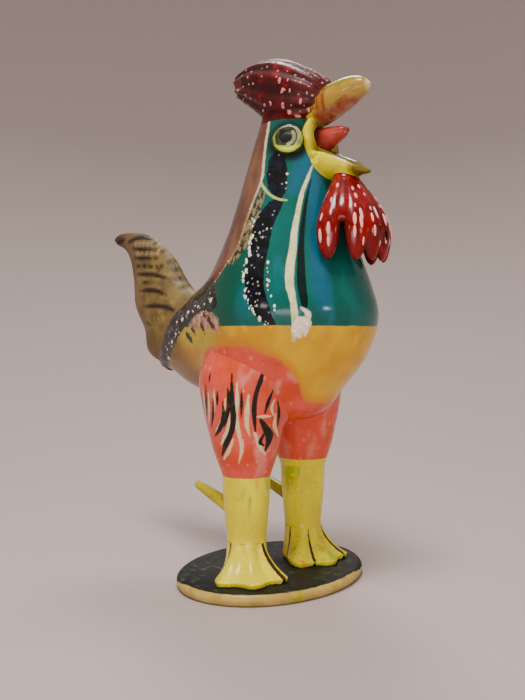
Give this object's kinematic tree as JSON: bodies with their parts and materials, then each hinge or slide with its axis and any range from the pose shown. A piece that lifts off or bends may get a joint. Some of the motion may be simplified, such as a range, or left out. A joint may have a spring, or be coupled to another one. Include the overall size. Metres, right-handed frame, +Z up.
{
  "type": "ceramic rooster figurine",
  "caption": "Hollow glazed ceramic rooster standing on an oval plinth, crowing with open beak, with fluted comb and wattles, painted plumage and an upswept tail.",
  "frame": {"origin": "centre of the plinth's underside, on the surface that it stands on", "axes": "+X forward, the way the bird faces; +Y to the bird's left; +Z up"},
  "size_m": [0.248, 0.139, 0.3395],
  "materials": {
    "plinth_glaze": "gloss, dark green-black top and ochre rim",
    "leg_glaze": "gloss yellow",
    "thigh_glaze": "gloss coral with black and cream strokes",
    "belly_glaze": "gloss mustard",
    "breast_glaze": "gloss teal with painted bands",
    "tail_glaze": "gloss straw with black strokes",
    "comb_glaze": "gloss crimson with pale dots",
    "beak_glaze": "gloss yellow",
    "mouth_glaze": "gloss pink",
    "eye_glaze": "gloss, painted rings"
  },
  "bodies": {
    "root": {"base_plinth": "plinth_glaze", "foot_right": "leg_glaze", "foot_left": "leg_glaze", "shank_right": "leg_glaze", "shank_left": "leg_glaze", "spur_right": "leg_glaze", "spur_left": "leg_glaze", "thigh_right": "thigh_glaze", "thigh_left": "thigh_glaze", "belly_shell": "belly_glaze", "breast_shell": "breast_glaze", "tail": "tail_glaze", "comb": "comb_glaze", "beak_upper": "beak_glaze", "beak_lower": "beak_glaze", "tongue": "mouth_glaze", "eye_right": "eye_glaze", "eye_left": "eye_glaze", "wattle_right": "comb_glaze", "wattle_left": "comb_glaze"}
  },
  "joints": []
}
